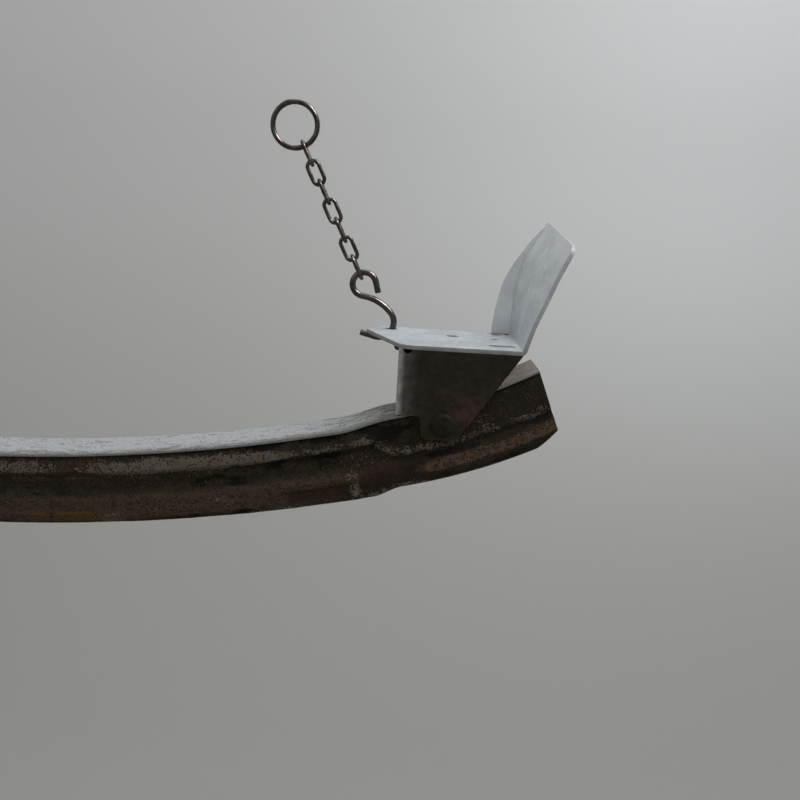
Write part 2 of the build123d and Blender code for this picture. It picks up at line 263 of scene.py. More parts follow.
def round_cutter(x, y, diameter, slot=0.0, chamfer=0.4):
    """A hole through the plate with its edges eased; slot is the straight length along X."""
    around, past = 48, 2.0
    levels = (
        (past, chamfer * 3), (0.0, chamfer), (-chamfer, 0),
        (chamfer - PLATE_SHEET, 0), (-PLATE_SHEET, chamfer), (-PLATE_SHEET - past, chamfer * 3),
    )
    points = []
    for z, grown in levels:
        radius = diameter / 2 + grown
        for angle in ring_angles(around):
            half_slot = slot / 2 if cos(angle) > 0 else -slot / 2
            points.append((x + radius * cos(angle) + half_slot, y + radius * sin(angle), z))
    return mesh_object("cutter", points, capped_faces(len(levels), around))


# ---- material helpers ----
class Finish:
    """A procedural material: thin helpers round its node tree."""

    def __init__(self, name, roughness=0.6, metallic=0.0, specular=0.5):
        self.material = bpy.data.materials.new(name)
        self.material.use_nodes = True
        self.tree = self.material.node_tree
        self.shader = self.tree.nodes["Principled BSDF"]
        self.shader.inputs["Roughness"].default_value = roughness
        self.shader.inputs["Metallic"].default_value = metallic
        self.shader.inputs["Specular IOR Level"].default_value = specular
        self.place = self.node("ShaderNodeTexCoord").outputs["Object"]

    def node(self, kind, **settings):
        made = self.tree.nodes.new(kind)
        for key, value in settings.items():
            setattr(made, key, value)
        return made

    def put(self, socket, value):
        """Links an output to a socket, or sets the socket to a number or a colour."""
        if isinstance(value, bpy.types.NodeSocket):
            self.tree.links.new(value, socket)
        elif isinstance(value, tuple):
            socket.default_value = (*value, 1)
        else:
            socket.default_value = value

    def tone(self, name):
        return self.node("ShaderNodeAttribute", attribute_name=name).outputs["Fac"]

    def maths(self, operation, *values):
        made = self.node("ShaderNodeMath", operation=operation)
        for socket, value in zip(made.inputs, values):
            self.put(socket, value)
        return made.outputs[0]

    def times(self, first, second):
        return self.maths("MULTIPLY", first, second)

    def moved(self, shift, stretch=(1, 1, 1)):
        """The object's own coordinates, stretched and shifted, so that no two textures coincide."""
        mapping = self.node("ShaderNodeMapping")
        self.put(mapping.inputs["Vector"], self.place)
        mapping.inputs["Scale"].default_value = stretch
        mapping.inputs["Location"].default_value = (shift, shift * 0.7, shift * 1.3)
        return mapping.outputs[0]

    def grain(self, size_mm, detail, rough, stretch=(1, 1, 1), shift=0.0):
        """Noise whose lumps are about size_mm across."""
        made = self.node("ShaderNodeTexNoise")
        self.put(made.inputs["Vector"], self.moved(shift, stretch))
        made.inputs["Scale"].default_value = 1000 / size_mm
        made.inputs["Detail"].default_value = detail
        made.inputs["Roughness"].default_value = rough
        return made.outputs["Fac"]

    def spots(self, size_mm, shift):
        """Round cells: distance to the nearest point, 0 at the points."""
        made = self.node("ShaderNodeTexVoronoi")
        self.put(made.inputs["Vector"], self.moved(shift))
        made.inputs["Scale"].default_value = 1000 / size_mm
        return made.outputs["Distance"]

    def scaled(self, value, from_low, from_high, to_low=0.0, to_high=1.0):
        made = self.node("ShaderNodeMapRange", interpolation_type="SMOOTHSTEP")
        self.put(made.inputs["Value"], value)
        limits = {"From Min": from_low, "From Max": from_high, "To Min": to_low, "To Max": to_high}
        for key, number in limits.items():
            self.put(made.inputs[key], number)
        return made.outputs[0]

    def blend(self, share, first, second, mode="MIX"):
        made = self.node("ShaderNodeMix", data_type="RGBA", blend_type=mode)
        self.put(made.inputs[0], share)
        self.put(made.inputs[6], first)
        self.put(made.inputs[7], second)
        return made.outputs[2]

    def patches(self, noise_value, amount, reach, edge):
        """Where the noise passes a threshold that falls as amount rises: 0 or 1 with a thin border."""
        limit = self.maths("MULTIPLY_ADD", amount, -reach, 0.5 + reach / 2)
        return self.scaled(self.maths("SUBTRACT", noise_value, limit), -edge, edge)

    def relief(self, height, depth_mm, normal=None, strength=1.0):
        made = self.node("ShaderNodeBump")
        made.inputs["Strength"].default_value = strength
        made.inputs["Distance"].default_value = depth_mm * MM
        self.put(made.inputs["Height"], height)
        if normal is not None:
            self.put(made.inputs["Normal"], normal)
        return made.outputs[0]

    def finish(self, base, roughness=None, normal=None):
        for key, value in (("Base Color", base), ("Roughness", roughness), ("Normal", normal)):
            if value is not None:
                self.put(self.shader.inputs[key], value)
        return self.material


# ---- materials ----
def beam_side_material():
    """Old dark paint over rust, with painted light and shade that follow the wall's shape: pale chalk high
    on the wall, partly painted light on the upper ridge; brown on the lower lobe, partly rust and partly
    painted light; a lighter painted highlight on the lower ridge near the end; painted shade, near black,
    in the grooves and along the edges.
    """
    m = Finish("weathered_beam_paint_with_painted_light", specular=0.12)
    fine = m.grain(1.3, 3, 0.6)
    middle = m.grain(3.4, 4, 0.65, stretch=(0.7, 1, 1), shift=0.3)
    coarse = m.grain(11, 4, 0.6, stretch=(0.5, 1, 1), shift=0.9)
    broad = m.grain(38, 3, 0.5, stretch=(0.5, 1, 1), shift=0.7)
    # the three grains together run from about 0 to 1 and break every tone up into flecks
    mixed = m.maths("MULTIPLY_ADD", fine, 0.50, m.times(coarse, 0.30))
    mixed = m.maths("MULTIPLY_ADD", middle, 0.30, mixed)
    flecks = m.scaled(mixed, 0.38, 0.72)
    smears = m.scaled(coarse, 0.30, 0.70)

    def share(name, full, texture=flecks, soft=0.22):
        """How far a tone covers a point: it fills in from the texture's peaks as it grows."""
        limit = m.maths("MULTIPLY_ADD", m.tone(name), -1.0 - soft, 1.0)
        cover = m.scaled(m.maths("SUBTRACT", texture, limit), 0.0, soft)
        return m.times(cover, full)

    base = m.blend(m.scaled(broad, 0.35, 0.65), (0.022, 0.016, 0.010), (0.036, 0.027, 0.018))
    base = m.blend(m.scaled(flecks, 0.25, 0.75, 0.0, 0.6), base, (0.012, 0.009, 0.006))
    # brown on the lower lobe: partly rust, partly painted light where the lobe faces up
    base = m.blend(share("brown", 0.95), base, (0.070, 0.047, 0.026))
    # painted highlight: a lighter warm brown on the lower ridge near the end, where it faces up into the
    # light
    base = m.blend(share("ridge", 0.95), base, (0.115, 0.072, 0.044))
    base = m.blend(m.scaled(middle, 0.47, 0.60, 0.0, 0.6), base, (0.022, 0.015, 0.009))
    # painted shade: near black in the grooves and along the edges, where the wall's shape keeps the light
    # off
    base = m.blend(share("painted_shade", 1.0, smears, 0.30), base, (0.007, 0.005, 0.003))
    base = m.blend(share("red", 0.9, smears, 0.5), base, (0.036, 0.019, 0.014))
    base = m.blend(share("orange", 0.9, smears, 0.5), base, (0.085, 0.046, 0.016))
    clouds = m.scaled(m.grain(11, 3, 0.5, shift=1.1), 0.4, 0.6)
    pale = m.blend(clouds, (0.140, 0.108, 0.078), (0.150, 0.130, 0.108))
    # pale chalk: chalky paint, and on the upper ridge partly painted light
    chalk = share("chalk", 1.0, flecks, 0.34)
    base = m.blend(chalk, base, pale)
    pits = m.scaled(m.spots(2.2, 0.4), 0.20, 0.42)
    pitted = m.scaled(m.grain(13, 3, 0.5, shift=2.3), 0.34, 0.52, 0.15, 0.9)
    dark_pits = m.times(m.maths("SUBTRACT", 1.0, pits), pitted)
    base = m.blend(dark_pits, base, (0.010, 0.007, 0.004))
    rough = m.scaled(middle, 0.35, 0.65, 0.62, 0.9)
    normal = m.relief(chalk, 0.08)
    normal = m.relief(fine, 0.10, normal)
    normal = m.relief(pits, 0.12, normal, 0.6)
    return m.finish(base, rough, normal)


def beam_rear_material():
    """Chalky pale primer on the rear sheet, worn through to dark steel in specks, brown near the ends."""
    m = Finish("chalky_primer")
    fine = m.grain(1.1, 5, 0.75)
    coarse = m.grain(6, 5, 0.65, stretch=(0.5, 1, 1), shift=0.2)
    mottle = m.maths("MULTIPLY_ADD", coarse, 0.45, m.times(fine, 0.55))
    white = m.blend(m.scaled(coarse, 0.35, 0.65), (0.36, 0.38, 0.40), (0.55, 0.57, 0.585))
    base = m.blend(m.patches(mottle, m.tone("bare"), 0.44, 0.06), white, (0.150, 0.138, 0.126))
    brown = m.blend(m.scaled(mottle, 0.4, 0.6), (0.290, 0.235, 0.205), (0.500, 0.430, 0.390))
    base = m.blend(m.tone("end"), base, brown)
    base = m.blend(m.tone("under"), base, (0.028, 0.022, 0.016))
    rough = m.scaled(mottle, 0.35, 0.65, 0.7, 0.92)
    normal = m.relief(mottle, 0.35)
    return m.finish(base, rough, normal)


def plate_material():
    """Satin pale primer over pressed steel: mottled, scuffed, with faint drips and worn edges; paler up the
    upright and on the flange, partly primer and partly painted highlight; a darker grey on the underside as
    painted shade.
    """
    m = Finish("pale_plate_primer")
    broad = m.grain(30, 3, 0.5, shift=0.4)
    cloudy = m.grain(9, 5, 0.6, shift=0.9)
    fine = m.grain(1.1, 4, 0.6)
    base = m.blend(m.scaled(broad, 0.36, 0.64), (0.40, 0.43, 0.45), (0.50, 0.535, 0.555))
    base = m.blend(m.times(m.scaled(cloudy, 0.52, 0.66), 0.55), base, (0.66, 0.69, 0.71))
    scuffs = m.scaled(m.grain(3.5, 5, 0.7, stretch=(0.25, 1, 1), shift=1.7), 0.60, 0.68)
    base = m.blend(m.times(scuffs, 0.6), base, (0.26, 0.265, 0.26))
    worn = m.patches(m.grain(2.2, 4, 0.6, shift=2.1), m.tone("edge"), 0.5, 0.05)
    base = m.blend(m.times(worn, 0.6), base, (0.26, 0.24, 0.22))
    rust = m.patches(m.grain(3.0, 4, 0.6, shift=2.9), m.tone("rust"), 0.6, 0.06)
    base = m.blend(rust, base, (0.16, 0.085, 0.045))
    # painted shade: a darker grey copy of the primer on the underside and the lower outside of the upright
    low = m.blend(m.scaled(cloudy, 0.4, 0.6), (0.15, 0.15, 0.145), (0.23, 0.23, 0.225))
    base = m.blend(m.tone("under"), base, low)
    # paler up the upright: partly pale primer, partly painted highlight where the upright faces the light
    pale = m.blend(m.scaled(broad, 0.4, 0.6), (0.72, 0.735, 0.74), (0.82, 0.835, 0.84))
    base = m.blend(m.tone("pale"), base, pale)
    rough = m.scaled(cloudy, 0.35, 0.65, 0.42, 0.62)
    normal = m.relief(fine, 0.05)
    normal = m.relief(cloudy, 0.25, normal, 0.5)
    return m.finish(base, rough, normal)


def box_material():
    """Dark dip paint, dusty, with a reddish bloom of rust near the tab, and a pale painted highlight along
    the front bend.
    """
    m = Finish("dark_box_paint", specular=0.15)
    broad = m.grain(24, 4, 0.55, shift=0.5)
    cloudy = m.grain(5, 5, 0.65, shift=1.2)
    fine = m.grain(0.9, 4, 0.6)
    base = m.blend(m.scaled(broad, 0.35, 0.65), (0.025, 0.018, 0.012), (0.036, 0.027, 0.019))
    base = m.blend(m.scaled(cloudy, 0.40, 0.60), m.blend(1.0, base, (0.7, 0.7, 0.7), "MULTIPLY"), base)
    base = m.blend(m.patches(cloudy, m.tone("red"), 0.5, 0.12), base, (0.058, 0.031, 0.024))
    # painted highlight: pale along the front bend, where the rounded corner catches the light
    bend = m.times(m.tone("bend"), m.scaled(cloudy, 0.3, 0.7, 0.55, 1.0))
    base = m.blend(bend, base, (0.480, 0.455, 0.425))
    specks = m.scaled(m.spots(7, 0.9), 0.05, 0.10)
    base = m.blend(m.maths("MULTIPLY_ADD", specks, -0.7, 0.7), base, (0.012, 0.009, 0.007))
    worn = m.patches(m.grain(1.8, 4, 0.6, shift=2.4), m.tone("edge"), 0.5, 0.05)
    base = m.blend(m.times(worn, 0.55), base, (0.085, 0.062, 0.045))
    rough = m.scaled(cloudy, 0.35, 0.65, 0.50, 0.74)
    normal = m.relief(fine, 0.05)
    normal = m.relief(cloudy, 0.18, normal, 0.6)
    return m.finish(base, rough, normal)


def dark_steel_material(name, light, dark, rust):
    """Oxidised steel with rust blooming in the hollows."""
    m = Finish(name, specular=0.1)
    cloudy = m.grain(4, 5, 0.6, shift=0.6)
    fine = m.grain(0.8, 4, 0.6)
    base = m.blend(m.scaled(cloudy, 0.35, 0.65), dark, light)
    base = m.blend(m.scaled(m.grain(2.6, 5, 0.65, shift=1.9), 0.54, 0.62), base, rust)
    rough = m.scaled(cloudy, 0.35, 0.65, 0.6, 0.85)
    normal = m.relief(cloudy, 0.12, m.relief(fine, 0.05))
    return m.finish(base, rough, normal)


def wire_material(name, grain_mm):
    """Tarnished zinc on drawn wire: dark, with brownish clouds, and bright in worn spots."""
    m = Finish(name, metallic=1.0)
    broad = m.grain(grain_mm * 6, 3, 0.5, shift=0.8)
    cloudy = m.grain(grain_mm * 1.6, 5, 0.6, shift=1.4)
    fine = m.grain(0.45, 4, 0.6)
    base = m.blend(m.scaled(broad, 0.38, 0.62), (0.060, 0.050, 0.045), (0.115, 0.103, 0.096))
    tarnish = m.scaled(cloudy, 0.54, 0.68)
    base = m.blend(m.times(tarnish, 0.55), base, (0.060, 0.044, 0.036))
    # here only wear: bright worn spots on the zinc
    rub_wear_and_highlight = m.scaled(m.grain(grain_mm * 0.9, 4, 0.6, shift=3.3), 0.64, 0.72)
    base = m.blend(m.times(rub_wear_and_highlight, 0.5), base, (0.42, 0.41, 0.40))
    rough = m.maths("ADD", m.scaled(cloudy, 0.35, 0.65, 0.16, 0.26), m.times(tarnish, 0.12))
    normal = m.relief(cloudy, 0.05, m.relief(fine, 0.02))
    return m.finish(base, rough, normal)


def backdrop_material():
    """Pale matt wall with painted light: darker towards the floor, and a painted pool of light, lighter and
    cooler, towards its upper right.
    """
    m = Finish("pale_wall_with_painted_light", 0.95, specular=0.1)
    split = m.node("ShaderNodeSeparateXYZ")
    m.put(split.inputs[0], m.place)
    height = m.scaled(split.outputs["Z"], -1.3, 1.0)
    right = m.scaled(split.outputs["X"], -0.4, 1.6)
    # painted light and shade: darker low down, lighter high up
    base = m.blend(height, (0.405, 0.392, 0.368), (0.83, 0.832, 0.820))
    # painted pool of lamp light towards the upper right
    base = m.blend(m.times(height, right), base, (0.93, 0.955, 0.955))
    return m.finish(base)


MATERIALS = {
    "beam_side_steel": beam_side_material(),
    "beam_rear_steel": beam_rear_material(),
    "plate_paint": plate_material(),
    "box_paint": box_material(),
    "weld_steel": dark_steel_material(
        "weld_oxide", (0.09, 0.08, 0.07), (0.035, 0.030, 0.026), (0.07, 0.038, 0.02)
    ),
    "bolt_steel": dark_steel_material(
        "bolt_oxide", (0.024, 0.019, 0.014), (0.014, 0.011, 0.008), (0.034, 0.020, 0.012)
    ),
    "hook_steel": wire_material("hook_zinc", 2.4),
    "chain_steel": wire_material("chain_zinc", 1.6),
}


def paint(obj, slot_name):
    """Gives a new piece the material made for a slot of the CAD model."""
    obj.data.materials.append(MATERIALS[slot_name])


def paint_carried(node, slot_name):
    """Gives a carried-over CAD node its material."""
    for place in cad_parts[node].material_slots:
        place.material = MATERIALS[slot_name]


def stand_for(obj, body, slot_name, *nodes):
    """A new piece rides on a body and replaces its CAD nodes."""
    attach(obj, body)
    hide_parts(*nodes)
    paint(obj, slot_name)


# ---- the beam ----
def beam_stations():
    """Where the cross-sections are: from 0 to 1 along the middle arc, to 2 along the joggle and to 3
    along the end arc, and the same below zero on the left half."""
    middle = np.linspace(0, 1, round(MIDDLE_RADIUS * JOGGLE_ANGLE / STATION_STEP), endpoint=False)
    joggle = 1 + np.linspace(0, 1, round(JOGGLE_RUN / STATION_STEP) + 2, endpoint=False)
    end = 2 + np.linspace(0, 1, round(END_RADIUS * (END_ANGLE - JOGGLE_ANGLE) / STATION_STEP) + 1)
    right = np.concatenate((middle, joggle, end))
    return np.concatenate((-right[:0:-1], right))


def beam_place(station):
    """At a station of the right half: front-face point (x, z), the section's lean, its share of the end
    section, its tuck, and how much its rear side is lifted where the joggle starts earlier there."""
    extra_rise = JOGGLE_RISE - JOGGLE_RUN * tan(JOGGLE_ANGLE)
    if station <= 1:
        slope = JOGGLE_ANGLE * station
        x, z = MIDDLE_RADIUS * sin(slope), MIDDLE_CENTRE_Z - MIDDLE_RADIUS * cos(slope)
        early = extra_rise * float(smooth(x, JOGGLE_X - JOGGLE_LEAD, JOGGLE_X + JOGGLE_RUN))
        return x, z, slope, 0.0, 0.0, early
    if station <= 2:
        share = station - 1
        eased = share * share * (3 - 2 * share)
        x = JOGGLE_X + JOGGLE_RUN * share
        z = JOGGLE_Z + JOGGLE_RUN * tan(JOGGLE_ANGLE) * share + extra_rise * eased
        early = extra_rise * (float(smooth(x, JOGGLE_X - JOGGLE_LEAD, JOGGLE_X + JOGGLE_RUN)) - eased)
        return x, z, JOGGLE_ANGLE, eased, 0.0, early
    slope = JOGGLE_ANGLE + (END_ANGLE - JOGGLE_ANGLE) * (station - 2)
    done = max(0.0, (slope - TUCK_ANGLE) / (END_ANGLE - TUCK_ANGLE))
    lean = slope + (END_LEAN - END_ANGLE) * done
    x, z = END_CENTRE_X + END_RADIUS * sin(slope), END_CENTRE_Z - END_RADIUS * cos(slope)
    return x, z, lean, 1.0, END_TUCK * done**1.3, 0.0


def channel_path(share, tuck):
    """The channel's outer line across the beam, from the near flange's edge round to the far one."""
    wall = np.array(MIDDLE_WALL, dtype=float) * (1 - share) + np.array(END_WALL, dtype=float) * share
    wall[-1, 1] += tuck
    half = BEAM_WIDTH / 2
    near = [(-half + inset, height) for inset, height, _ in wall]
    lip = (near[0][0] + FLANGE_WIDTH, FLANGE_Z)
    outline = [lip] + near + [(-y, z) for y, z in reversed([lip] + near)]
    radii = list(wall[:, 2]) + list(wall[::-1, 2])
    steps = RUN_STEPS + (FRONT_STEPS,) + RUN_STEPS[::-1]
    return rounded(outline, radii, steps)


def pressed_details(x, across, height):
    """How far the pressing's details stand out of the side walls, in millimetres."""
    pad = band(x, 262, 310, 1.6) * band(height, 4.5, 13.5, 1.2)
    seam = band(x, 312, 317, 1.5) * band(height, 1, 50, 3)
    step = band(x, 0, 124, 1.2) * band(height, 2, 52, 2)
    low_bead = band(x, 60, 122, 2) * band(height, 6.5, 9.0, 0.9)
    return (-1.1 * pad + 0.5 * seam - 0.55 * step + 0.7 * low_bead) * smooth(np.abs(across), 17, 19.5)


# Paint on the channel's side walls: a base amount of each tone, then patches of it, each with its
# strength, its range and softness along X, and its range and softness up the wall.
BEAM_TONES = {
    # chalk: chalky paint; its bands high on the wall, 36.5 to 50 up, are partly painted light on the upper
    # ridge
    "chalk": (
        0.12,
        (0.76, (120, 260, 26), (36.5, 49, 5)), (0.48, (236, 322, 14), (41, 45, 3.5)),
        (0.50, (340, 470, 10), (23.5, 28.5, 5)), (0.05, (345, 470, 10), (28, 52, 4)),
        (0.34, (362, 470, 10), (-1, 2.5, 1.6)), (0.40, (232, 300, 14), (-1, 3.5, 1.8)),
        (0.50, (322, 362, 9), (-1, 5, 3.5)), (0.22, (362, 462, 9), (-1, 3, 2)),
        (0.40, (310, 319, 2.5), (1, 22, 7)), (0.42, (121, 142, 7), (0, 11, 5)),
        (0.22, (142, 236, 20), (9, 17, 5)), (0.42, (-1, 96, 14), (38, 50, 4)),
    ),
    # brown: partly rust, partly painted light on the lower lobe, which faces up
    "brown": (
        0.26,
        (0.66, (-1, 262, 10), (2, 21, 5)), (0.45, (255, 322, 6), (14, 23, 4)),
        (0.45, (-1, 150, 12), (34, 50, 5)),
    ),
    # painted highlight on the lower ridge near the end
    "ridge": (0.0, (0.95, (362, 470, 14), (8.5, 17, 4))),
    # painted shade in the grooves and along the top and bottom edges of the side wall
    "painted_shade": (
        0.0,
        (0.85, (126, 262, 14), (25.5, 33.5, 5)), (0.75, (222, 312, 10), (26, 38, 4.5)),
        (0.65, (240, 330, 8), (48, 56, 3)), (0.75, (345, 470, 8), (18.4, 22, 2.6)),
        (0.60, (-1, 124, 3), (22, 31, 4)), (0.55, (326, 366, 8), (34, 54, 5)),
        (0.50, (366, 470, 10), (0, 7.5, 3)), (0.45, (150, 250, 20), (-1, 5, 3)),
    ),
    "red": (
        0.0,
        (0.80, (264, 309, 6), (3, 14.5, 3)), (0.60, (316, 356, 9), (12, 25, 5)),
        (0.45, (40, 150, 20), (30, 50, 6)),
    ),
    "orange": (0.0, (0.80, (70, 123, 6), (2.5, 9.5, 2.5))),
}
FRONT_TONES = {"chalk": 0.30, "brown": 0.45}    # evenly over the front face


def beam_tones(x, across, height):
    """How much of each paint tone every point of the channel has."""
    tones = {}
    for name, (base, *patches) in BEAM_TONES.items():
        tones[name] = base + sum(
            strength * band(x, *along) * band(height, *up) for strength, along, up in patches
        )
    joggle_line = 44 - 15 * smooth(x, 322, 352)
    tones["chalk"] += 0.55 * band(x, 322, 344, 8) * band(height - joggle_line, -4, 5, 5)
    # chalk and brown give way where the painted shade lies
    for name in ("chalk", "brown"):
        tones[name] -= 0.45 * tones["painted_shade"]
    side = smooth(np.abs(across), 17.5, 20)
    return {
        name: np.clip(values * side + FRONT_TONES.get(name, 0.0) * (1 - side), 0, 1)
        for name, values in tones.items()
    }


def build_channel():
    """The pressed front channel, with its beads, joggle, pad and dents."""
    outer, inner, xs, acrosses, heights = [], [], [], [], []
    for signed in beam_stations():
        x, z, slope, share, tuck, early = beam_place(abs(signed))
        path = channel_path(share, tuck)
        normal = sideways(path)
        details = pressed_details(np.full(len(path), x), path[:, 0], path[:, 1])
        settled = 1 - smooth(x, END_X - 12, END_X)
        outward = -normal
        moved = path + outward * (details * settled)[:, None]
        mirror_x = -1 if signed < 0 else 1
        for line, sink in ((outer, moved), (inner, moved - outward * BEAM_SHEET)):
            line.append(np.column_stack((
                mirror_x * (x - sin(slope) * sink[:, 1]),
                BEAM_MID_Y + sink[:, 0],
                z + cos(slope) * sink[:, 1] + early * sink[:, 1] / BEAM_DEPTH,
            )))
        xs.append(np.full(len(path), x))
        acrosses.append(path[:, 0])
        heights.append(path[:, 1])
    count = len(outer[0])
    outer, inner = np.concatenate(outer), np.concatenate(inner)
    dents = 0.45 * waves(outer, 30, 1) + 0.14 * waves(outer, 7, 2)
    away = outer - inner
    away /= np.linalg.norm(away, axis=1)[:, None]
    hold = 1 - smooth(np.concatenate(xs), 320, 345)
    shift = away * (dents * (0.35 + 0.65 * hold))[:, None] * 0.6
    outer, inner = outer + shift - away * 0.25, inner + shift - away * 0.25
    tones = beam_tones(np.concatenate(xs), np.concatenate(acrosses), np.concatenate(heights))
    both = {name: np.concatenate((values, values * 0.15)) for name, values in tones.items()}
    quads = grid_quads(len(beam_stations()), count)
    obj = sheet_object("beam_channel_pressing", outer, inner, quads, both)
    stand_for(obj, "beam", "beam_side_steel", "beam_front_channel")


def build_rear_sheet():
    """The rear closing sheet, slightly wavy, with spot welds along both flanges."""
    across = np.linspace(-BEAM_WIDTH / 2, BEAM_WIDTH / 2, 48)
    top, below, bare, ends = [], [], [], []
    weld_pitch, weld_line = 42.0, BEAM_WIDTH / 2 - 6.5
    for signed in beam_stations():
        x, z, slope, _, _, early = beam_place(abs(signed))
        mirror_x = -1 if signed < 0 else 1
        from_weld = (x + weld_pitch / 2) % weld_pitch - weld_pitch / 2
        dimple = np.maximum(0, 1 - np.hypot(from_weld, np.abs(across) - weld_line) / 3.4)
        lift = -0.55 * dimple * dimple * (3 - 2 * dimple)
        for line, height in ((top, BEAM_DEPTH + lift), (below, BEAM_DEPTH - BEAM_SHEET + lift + 0.05)):
            line.append(np.column_stack((
                mirror_x * (x - sin(slope) * height), BEAM_MID_Y + across, z + cos(slope) * height + early
            )))
        hidden = band(x, 341, 426, 3)
        bare.append(0.42 + 0.22 * smooth(-across, 8, 23.5) + 0.10 * smooth(x, 250, 340) + 0.05 * hidden)
        ends.append(np.full(len(across), smooth(x, 408, 422)))
    top, below = np.concatenate(top), np.concatenate(below)
    wave = 0.22 * waves(top, 24, 3) + 0.16 * waves(top, 3.2, 4) - 0.2
    top[:, 2] += wave
    below[:, 2] += wave * 0.6
    bare, ends = np.concatenate(bare), np.concatenate(ends)
    none = np.zeros(len(top))
    tones = {
        "bare": np.concatenate((bare, none)),
        "end": np.concatenate((ends, none)),
        "under": np.concatenate((none, none + 1)),
    }
    quads = grid_quads(len(beam_stations()), len(across))
    obj = sheet_object("beam_rear_sheet", top, below, quads, tones)
    stand_for(obj, "beam", "beam_rear_steel", "beam_rear_plate")


# ---- brackets ----
def plate_rows():
    """Inner border of the flat plate, from its near to its far edge: where each row of the grid starts."""
    lead_in, lead_out = 30.0, 20.0      # runs along both edges, dropped from the line at the end
    fall = (FAR_Y - UPRIGHT_FAR_Y) / (PLATE_END_X - PLATE_EDGE[2][0])
    start = (PLATE_EDGE[0][0] + lead_in, NEAR_Y)
    finish = (PLATE_EDGE[2][0] + lead_out, FAR_Y - lead_out * fall)
    line = rounded((start, *PLATE_EDGE, finish), (15.0, 6.0, 6.0), (1, 30, 8, 1), 9)
    return line[1:-1]


def upright_path(share, start_x):
    """Outer line of plate and upright, as (x, z), at a share of the way from the near to the far edge."""
    near, far = np.array(UPRIGHT_NEAR), np.array(UPRIGHT_FAR)
    levels = near * (1 - share) + far * share
    return rounded(((start_x, -PLATE_SHEET), *levels), FOLD_RADII, FOLD_STEPS, 7)


def build_plate(side, sign):
    """Top plate, upright and return flange as one folded sheet."""
    rows = plate_rows()
    corner_near, corner_far = 7.0, 4.0
    outer, inner, edge, rust, under = [], [], [], [], []
    for x, y in rows:
        share = (y - NEAR_Y) / (FAR_Y - NEAR_Y)
        path = upright_path(share, x)
        left = sideways(path)
        inward = path + left * PLATE_SHEET
        from_near, from_far = y - NEAR_Y, FAR_Y - y
        drop = corner_near - sqrt(max(0, corner_near**2 - max(0, corner_near - from_near) ** 2))
        drop += corner_far - sqrt(max(0, corner_far**2 - max(0, corner_far - from_far) ** 2))
        along = np.concatenate(([0], np.cumsum(np.hypot(*np.diff(path, axis=0).T))))
        keep = 1 - drop / (along[-1] - along[TRIM_COLUMN])
        fade = smooth(np.arange(len(path)), TRIM_COLUMN, len(path) - 1)
        for line in (path, inward):
            line += (line[TRIM_COLUMN] - line) * (fade * (1 - keep))[:, None]
        slope_y = (FAR_Y - UPRIGHT_FAR_Y) * smooth(path[:, 0], PLATE_EDGE[2][0], PLATE_END_X + 12) * share
        ys = y - slope_y
        outer.append(np.column_stack((path[:, 0], ys, path[:, 1])))
        inner.append(np.column_stack((inward[:, 0], ys, inward[:, 1])))
        border = np.minimum(from_near, from_far)
        to_end = np.minimum(along, along[-1] - along)
        distance = np.minimum(border, to_end)
        edge.append(0.75 * (1 - smooth(distance, 0.3, 2.2)))
        rust.append(0.9 * np.exp(-(np.hypot(path[:, 0] - 424, ys - 24) / 4.0) ** 2) * (path[:, 1] < 6))
        # painted shade on the underside, fading out up the upright's outside
        under.append(1 - smooth(along, along[-1] - 90, along[-1] - 70))
    columns = len(outer[0])
    outer, inner = np.concatenate(outer), np.concatenate(inner)
    edge, rust, under = np.concatenate(edge), np.concatenate(rust), np.concatenate(under)
    none = np.zeros(len(outer))
    # paler higher up the upright: partly primer, partly painted highlight
    pale = 0.30 * smooth(inner[:, 2], 3, 40) + 0.20 * smooth(inner[:, 2], 45, 85)
    # outer is the underside and the upright's outside, inner the top and the upright's inside
    tones = {
        "edge": np.concatenate((edge, edge)),
        "rust": np.concatenate((none, rust)),
        "under": np.concatenate((under, none)),
        "pale": np.concatenate((pale, pale)),
    }
    ripple = 0.25 * waves(outer, 38, 5 + sign)
    for line in (outer, inner):
        line[:, 2] -= np.abs(ripple) * smooth(line[:, 0], 330, 350) * 0.5
        line[:, 0] *= sign
    plate = sheet_object(side + "_plate_pressing", outer, inner, grid_quads(len(rows), columns), tones)
    cutters = [round_cutter(sign * x, y, diameter) for x, y, diameter in HOLES]
    slot_x, slot_y = SLOT_CENTRE
    cutters.append(round_cutter(sign * slot_x, slot_y, SLOT_WIDTH, SLOT_LENGTH - SLOT_WIDTH))
    cut_holes(plate, cutters)
    stand_for(plate, "beam", "plate_paint", side + "_bracket_plate")
    build_flange(side, sign)


